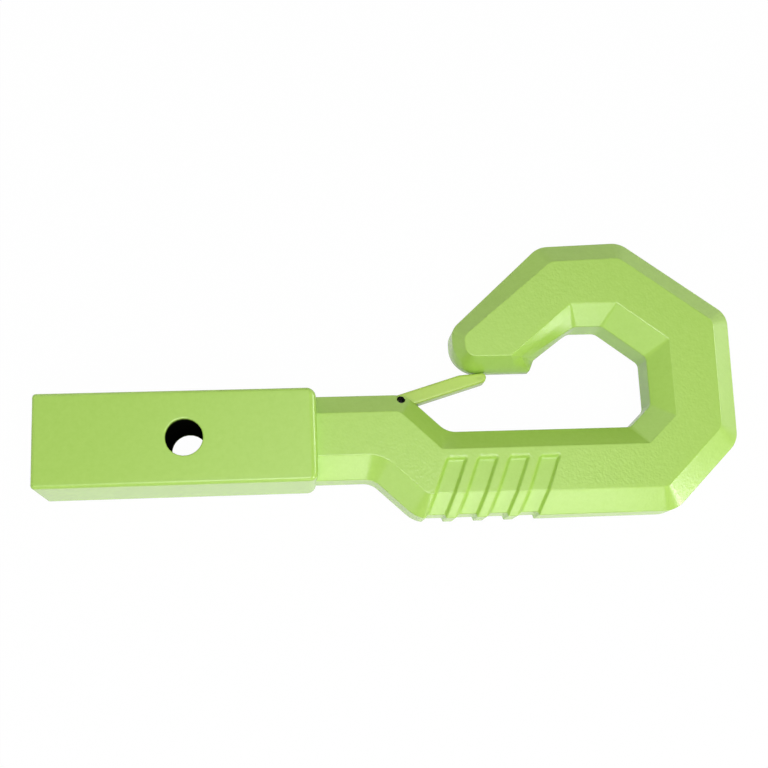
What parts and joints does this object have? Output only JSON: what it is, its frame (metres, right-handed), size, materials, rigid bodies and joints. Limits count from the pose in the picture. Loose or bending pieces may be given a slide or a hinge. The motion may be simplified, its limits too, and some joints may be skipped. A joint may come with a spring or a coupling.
{
  "type": "receiver tow hook",
  "caption": "Cast receiver tow hook: square shank with a hitch pin hole, chamfered neck and open faceted hook whose mouth is closed by a sprung latch.",
  "frame": {"origin": "centre of the hitch pin hole, at half the shank's thickness", "axes": "+X along the shank towards the hook, +Y towards the side that the nose is on, +Z along the hitch pin hole, out of the broad face; the part lies flat on its lower broad side"},
  "size_m": [0.3815, 0.1531, 0.05],
  "materials": {
    "powder_coated_casting": "lime green powder coat over cast steel",
    "powder_coated_latch": "lime green powder coat over steel bar",
    "black_spring_pin": "black oxide spring steel",
    "spring_wire": "bright spring wire"
  },
  "bodies": {
    "hook": {"hook_body": "powder_coated_casting", "latch_pin": "black_spring_pin", "latch_spring": "spring_wire"},
    "latch": {"latch": "powder_coated_latch"}
  },
  "joints": [
    {"name": "latch_pivot", "type": "hinge", "parent": "hook", "child": "latch", "pos_m": [0.1159, 0.02, 0], "axis": [0, 0, -1], "range_deg": [0, 34], "stiffness_Nm_per_rad": 0.08, "springref_deg": -45.84, "deforming": ["latch_spring"]}
  ]
}
